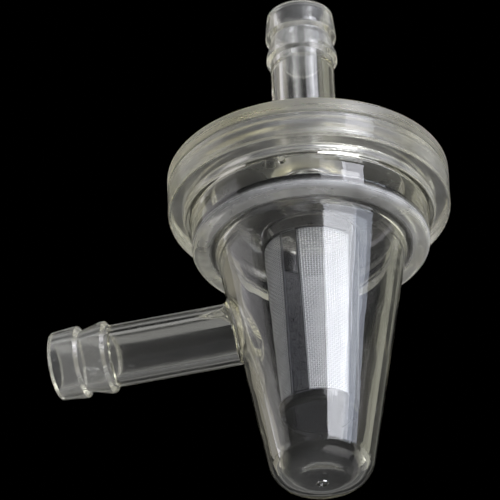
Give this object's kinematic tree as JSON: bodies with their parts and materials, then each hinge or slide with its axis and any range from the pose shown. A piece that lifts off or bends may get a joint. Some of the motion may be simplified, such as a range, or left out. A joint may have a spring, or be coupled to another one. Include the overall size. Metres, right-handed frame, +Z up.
{
  "type": "inline fuel filter",
  "caption": "Clear right-angle inline fuel filter: flanged cap with a straight hose nipple, conical bowl with a side nipple, ribbed mesh basket inside.",
  "frame": {"origin": "on the filter's axis, in the plane where the cap is welded to the bowl's flange", "axes": "+Z up the axis to the cap's nipple; the side nipple points along -X"},
  "size_m": [0.045, 0.0312, 0.0607],
  "materials": {
    "clear_housing": "clear moulded, glossy, slightly yellow at thick edges",
    "screen_frame": "smoky translucent moulded, glossy",
    "screen_mesh": "fine woven nylon monofilament"
  },
  "bodies": {
    "root": {"cap": "clear_housing", "bowl": "clear_housing", "screen_frame": "screen_frame", "screen_mesh": "screen_mesh"}
  },
  "joints": []
}
